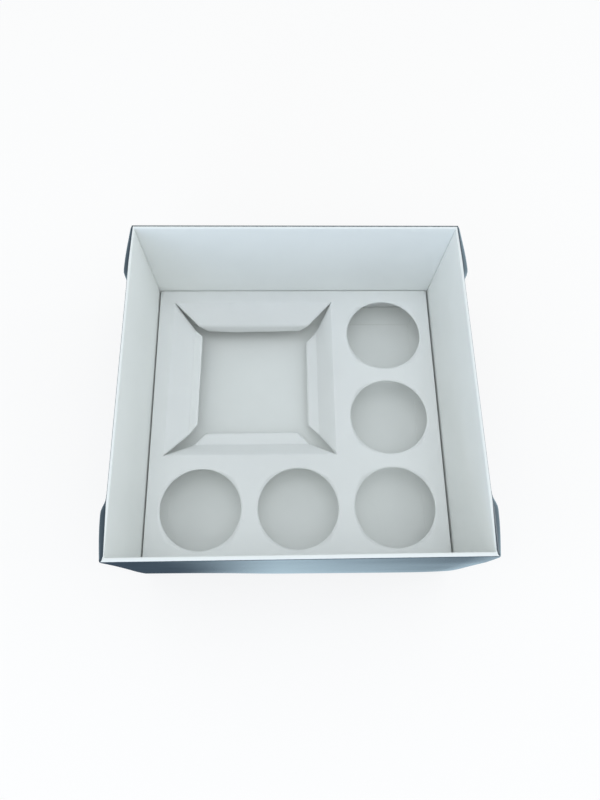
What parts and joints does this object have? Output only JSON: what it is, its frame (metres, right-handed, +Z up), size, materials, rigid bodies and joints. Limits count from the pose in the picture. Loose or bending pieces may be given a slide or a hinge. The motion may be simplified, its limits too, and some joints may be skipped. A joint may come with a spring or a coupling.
{
  "type": "cupcake box",
  "caption": "Open square card tray with rolled double walls and a folded white insert holding one small cake and cupcakes.",
  "frame": {"origin": "middle of the tray's base, on the surface it stands on", "axes": "+Z up out of the open top, +X to the right and +Y to the back, with the row of three cupcake holes along the front"},
  "size_m": [0.2122, 0.2096, 0.1022],
  "materials": {
    "printed_board": "glossy dark slate blue outside, plain white inside",
    "white_board": "matt coated white"
  },
  "bodies": {
    "root": {"tray": "printed_board", "insert": "white_board"}
  },
  "joints": []
}
